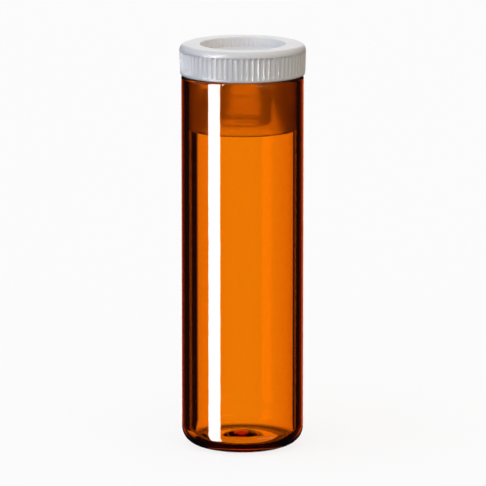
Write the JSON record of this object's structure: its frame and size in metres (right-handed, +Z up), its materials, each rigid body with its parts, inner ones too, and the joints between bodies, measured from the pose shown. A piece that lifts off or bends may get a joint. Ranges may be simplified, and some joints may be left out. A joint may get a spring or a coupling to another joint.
{
  "type": "glass sample vial",
  "caption": "Amber glass shell vial with straight wall, rounded heel and fire-polished rim, closed by a fluted white push-in plug with a hollow skirt.",
  "frame": {"origin": "on the bench, at the middle of the circle that the vial stands on", "axes": "+Z up along the vial's axis, from its floor to the plug"},
  "size_m": [0.015, 0.015, 0.0486],
  "materials": {
    "amber_glass": "clear amber glass, polished",
    "white_polyethylene": "natural translucent polyethylene, satin"
  },
  "bodies": {
    "vial": {"glass_vial": "amber_glass"},
    "plug": {"plug": "white_polyethylene"}
  },
  "joints": [
    {"name": "plug_lift", "type": "slide", "parent": "vial", "child": "plug", "axis": [0, 0, 1], "range_m": [0, 0.02]}
  ]
}
